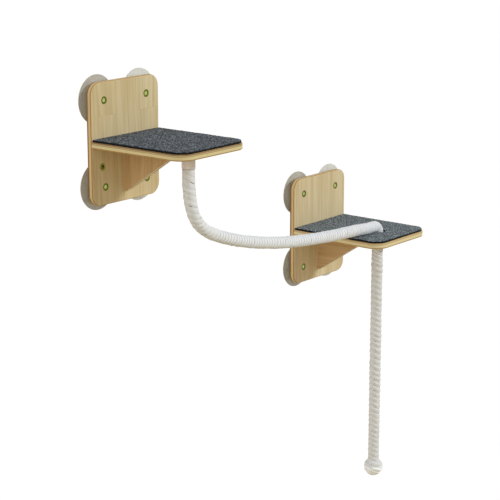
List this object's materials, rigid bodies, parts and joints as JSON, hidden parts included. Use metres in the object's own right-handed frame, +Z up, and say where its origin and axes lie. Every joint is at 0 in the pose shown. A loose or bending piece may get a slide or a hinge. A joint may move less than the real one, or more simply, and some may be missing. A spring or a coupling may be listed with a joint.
{
  "type": "window cat step set with climbing rope",
  "caption": "Wooden cat steps with carpet tops, held on a window by suction cups and linked by a wound climbing rope whose knotted tail hangs free.",
  "frame": {"origin": "on the glass plane, behind the centre of the upper back panel", "axes": "+X along the window towards the lower step, +Y out through the glass, +Z up"},
  "size_m": [0.889, 0.263, 1.0222],
  "materials": {
    "pine_plywood": "pale pine plywood, sanded and clear lacquered",
    "grey_carpet": "dark grey mottled needle-felt carpet",
    "clear_vinyl": "clear soft vinyl, moulded",
    "yellow_zinc": "yellow-green zinc plate",
    "zinc_steel": "bright zinc plate",
    "collar_tape": "cotton tape over a turned plug",
    "cotton_rope": "white cotton cord wound over a flexible core"
  },
  "bodies": {
    "steps": {"upper_back_panel": "pine_plywood", "upper_shelf_board": "pine_plywood", "upper_gusset": "pine_plywood", "upper_carpet_mat": "grey_carpet", "upper_cup_top_left": "clear_vinyl", "upper_cup_top_right": "clear_vinyl", "upper_cup_bottom_left": "clear_vinyl", "upper_cup_bottom_right": "clear_vinyl", "upper_cup_studs": "zinc_steel", "upper_cup_inserts": "yellow_zinc", "upper_spare_inserts": "yellow_zinc", "upper_shelf_screws": "zinc_steel", "upper_gusset_screws": "zinc_steel", "upper_brace_screws": "zinc_steel", "lower_back_panel": "pine_plywood", "lower_shelf_board": "pine_plywood", "lower_gusset": "pine_plywood", "lower_carpet_mat": "grey_carpet", "lower_cup_top_left": "clear_vinyl", "lower_cup_top_right": "clear_vinyl", "lower_cup_bottom_left": "clear_vinyl", "lower_cup_bottom_right": "clear_vinyl", "lower_cup_studs": "zinc_steel", "lower_cup_inserts": "yellow_zinc", "lower_shelf_screws": "zinc_steel", "lower_gusset_screws": "zinc_steel", "lower_brace_screws": "zinc_steel", "rope_collar": "collar_tape", "rope_anchor_screw": "zinc_steel", "rope_span": "cotton_rope", "rope_elbow": "cotton_rope"},
    "tail": {"rope_tail": "cotton_rope", "end_knot": "cotton_rope"}
  },
  "joints": [
    {"name": "tail_swing", "type": "hinge", "parent": "steps", "child": "tail", "pos_m": [0.665, -0.19, -0.3173], "axis": [0, 1, 0], "range_deg": [-30, 30]}
  ]
}
